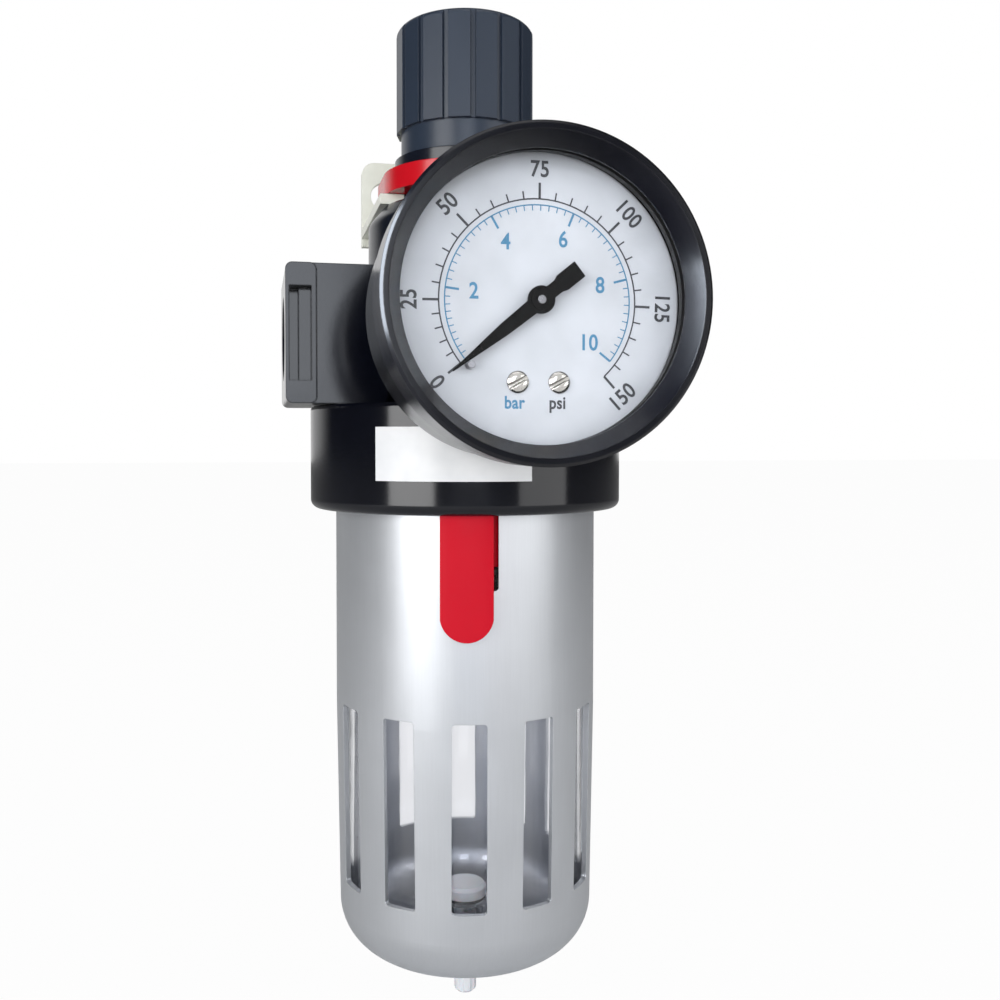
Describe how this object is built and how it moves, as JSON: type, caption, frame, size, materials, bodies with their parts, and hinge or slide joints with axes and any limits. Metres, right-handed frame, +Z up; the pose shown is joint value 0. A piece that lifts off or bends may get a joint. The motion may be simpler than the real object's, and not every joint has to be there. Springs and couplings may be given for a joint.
{
  "type": "compressed air filter regulator",
  "caption": "Filter regulator with inlet and outlet ports, knob-set pressure, round front gauge, slotted metal bowl guard with red lock, drain and wall bracket.",
  "frame": {"origin": "middle of the bracket's two holes, on the face that lies against the wall", "axes": "+Z up along the body, +Y into the wall, +X from the inlet port to the outlet port; the gauge faces -Y"},
  "size_m": [0.09, 0.1203, 0.2418],
  "materials": {
    "housing": "glossy charcoal-navy powder coat",
    "bonnet": "moulded charcoal-navy plastic",
    "knob": "moulded charcoal-navy plastic, slight gloss",
    "clip": "red moulded plastic",
    "button": "red moulded plastic",
    "bracket": "cream white coated steel",
    "guard": "satin silver plated steel",
    "clear": "clear polycarbonate",
    "rubber": "black rubber",
    "drain": "milky moulded plastic",
    "label": "white label film, blank",
    "white_plastic": "natural moulded plastic",
    "black_plastic": "black moulded plastic",
    "sintered": "porous polyethylene",
    "brass": "turned brass",
    "steel": "plain steel",
    "plate": "pressed aluminium",
    "bezel": "black glossy enamel",
    "dial": "white printed dial",
    "pointer": "black enamel",
    "lens": "clear lens",
    "plug": "plated steel"
  },
  "bodies": {
    "body": {"blank_label": "label", "body_casting": "housing", "bonnet": "bonnet", "bourdon_tube": "brass", "bracket": "bracket", "bracket_clip": "clip", "case_screws": "steel", "dial_pillars": "brass", "dial_screws": "plug", "diaphragm": "rubber", "filter_baffle": "black_plastic", "filter_bolt": "steel", "filter_element": "sintered", "front_movement_plate": "brass", "gauge_bezel": "bezel", "gauge_case": "bezel", "gauge_dial": "dial", "gauge_lens": "lens", "gauge_socket": "brass", "guide_seal": "rubber", "knob_detent_ring": "steel", "lens_gasket": "rubber", "main_spring": "steel", "movement_pillars": "brass", "rear_movement_plate": "brass", "rear_port_plug": "plug", "stop_pin": "plug", "swirl_deflector": "white_plastic", "tube_tip": "brass", "valve_guide": "brass", "valve_spring": "steel"},
    "screw": {"adjusting_screw": "steel"},
    "knob": {"knob": "knob"},
    "nut": {"spring_nut": "brass"},
    "valve": {"lower_diaphragm_plate": "plate", "upper_diaphragm_plate": "plate", "valve_poppet": "brass", "valve_pad": "rubber"},
    "bowl": {"clear_bowl": "clear", "bowl_seal": "rubber", "bowl_guard": "guard", "drain_seal": "rubber", "button_spring": "button"},
    "lock": {"lock_button": "button"},
    "drain": {"drain_valve": "drain"},
    "pointer": {"gauge_pointer": "pointer", "pinion_arbor": "brass", "hairspring": "steel"},
    "sector": {"sector_gear": "brass"},
    "link": {"movement_link": "brass"}
  },
  "joints": [
    {"name": "knob_turn", "type": "hinge", "parent": "body", "child": "screw", "pos_m": [0, -0.042, -0.045], "axis": [0, 0, -1], "range_deg": [0, 2521]},
    {"name": "knob_pull", "type": "slide", "parent": "screw", "child": "knob", "axis": [0, 0, 1], "range_m": [0, 0.003]},
    {"name": "nut_travel", "type": "slide", "parent": "body", "child": "nut", "axis": [0, 0, -1], "range_m": [0, 0.00875], "deforming": ["main_spring"]},
    {"name": "valve_lift", "type": "slide", "parent": "body", "child": "valve", "axis": [0, 0, -1], "range_m": [0, 0.0012], "stiffness_N_per_m": 1200, "springref_m": -0.002, "deforming": ["diaphragm", "valve_spring"]},
    {"name": "bowl_turn", "type": "hinge", "parent": "body", "child": "bowl", "pos_m": [0, -0.042, -0.045], "axis": [0, 0, 1], "range_deg": [0, 45]},
    {"name": "lock_slide", "type": "slide", "parent": "bowl", "child": "lock", "axis": [0, 0, -1], "range_m": [0, 0.004], "stiffness_N_per_m": 500, "springref_m": -0.002, "deforming": ["button_spring"]},
    {"name": "drain_push", "type": "slide", "parent": "bowl", "child": "drain", "axis": [0, 0, 1], "range_m": [0, 0.0025]},
    {"name": "pointer_turn", "type": "hinge", "parent": "body", "child": "pointer", "pos_m": [0, -0.042, -0.0436], "axis": [0, 1, 0], "range_deg": [0, 266.5]},
    {"name": "sector_turn", "type": "hinge", "parent": "body", "child": "sector", "pos_m": [0.01386, -0.042, -0.0356], "axis": [0, 1, 0], "range_deg": [-38.2, 0.1]},
    {"name": "link_swing", "type": "hinge", "parent": "sector", "child": "link", "pos_m": [0.01878, -0.042, -0.03647], "axis": [0, 1, 0], "range_deg": [-0.1, 38.2]}
  ],
  "couplings": [
    {"joint": "knob_turn", "follows": "nut_travel", "rad_per_m": 5026.5},
    {"joint": "sector_turn", "follows": "pointer_turn", "ratio": -0.14286},
    {"joint": "link_swing", "follows": "pointer_turn", "ratio": 0.14286}
  ]
}
